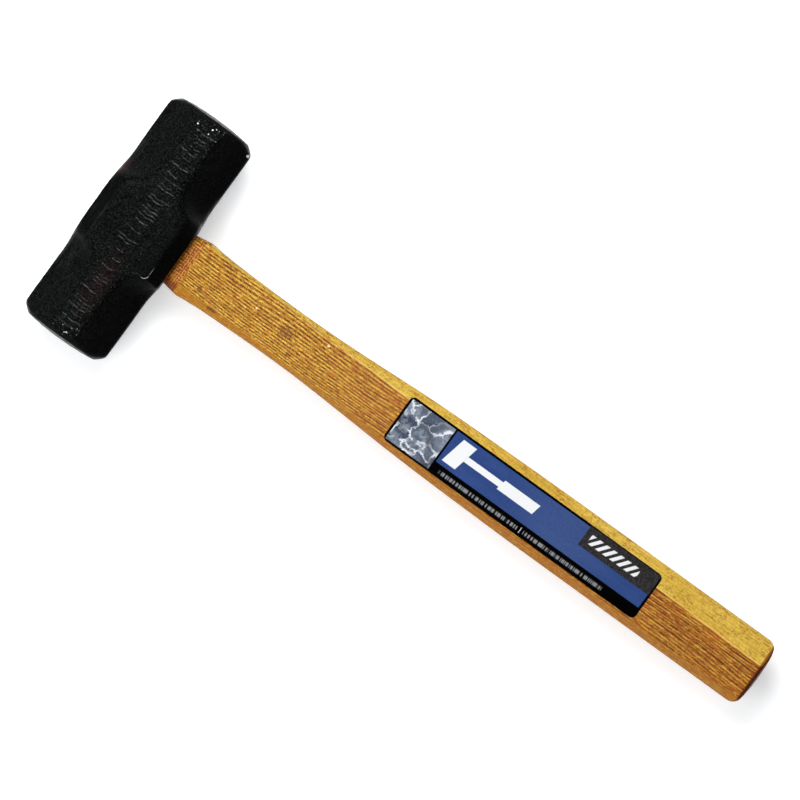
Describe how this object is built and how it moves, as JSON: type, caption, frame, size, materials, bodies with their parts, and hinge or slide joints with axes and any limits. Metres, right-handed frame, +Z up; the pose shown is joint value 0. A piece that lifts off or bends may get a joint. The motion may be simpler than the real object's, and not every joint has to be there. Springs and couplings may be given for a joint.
{
  "type": "lump hammer",
  "caption": "Hand sledge with a forged double-faced octagonal steel head, wedged on a faceted hickory handle with a wrapped label.",
  "frame": {"origin": "on the lower cheek face of the head, straight below the centre of the eye", "axes": "+X along the handle from the head to the grip end, +Y along the head from one striking face to the other, +Z up towards the labelled side"},
  "size_m": [0.4064, 0.1344, 0.049],
  "materials": {
    "head_paint": "semi-gloss black paint over an as-forged steel skin",
    "handle_wood": "clear-lacquered hickory, grain along the handle",
    "wedge_wood": "dry poplar end grain",
    "wedge_steel": "bare mild steel, hammered top",
    "label_vinyl": "printed vinyl wrap in blue and black, stone picture panel and plain pictogram, no lettering"
  },
  "bodies": {
    "root": {"head": "head_paint", "handle": "handle_wood", "wood_wedge": "wedge_wood", "steel_wedge_left": "wedge_steel", "steel_wedge_right": "wedge_steel", "label": "label_vinyl"}
  },
  "joints": []
}
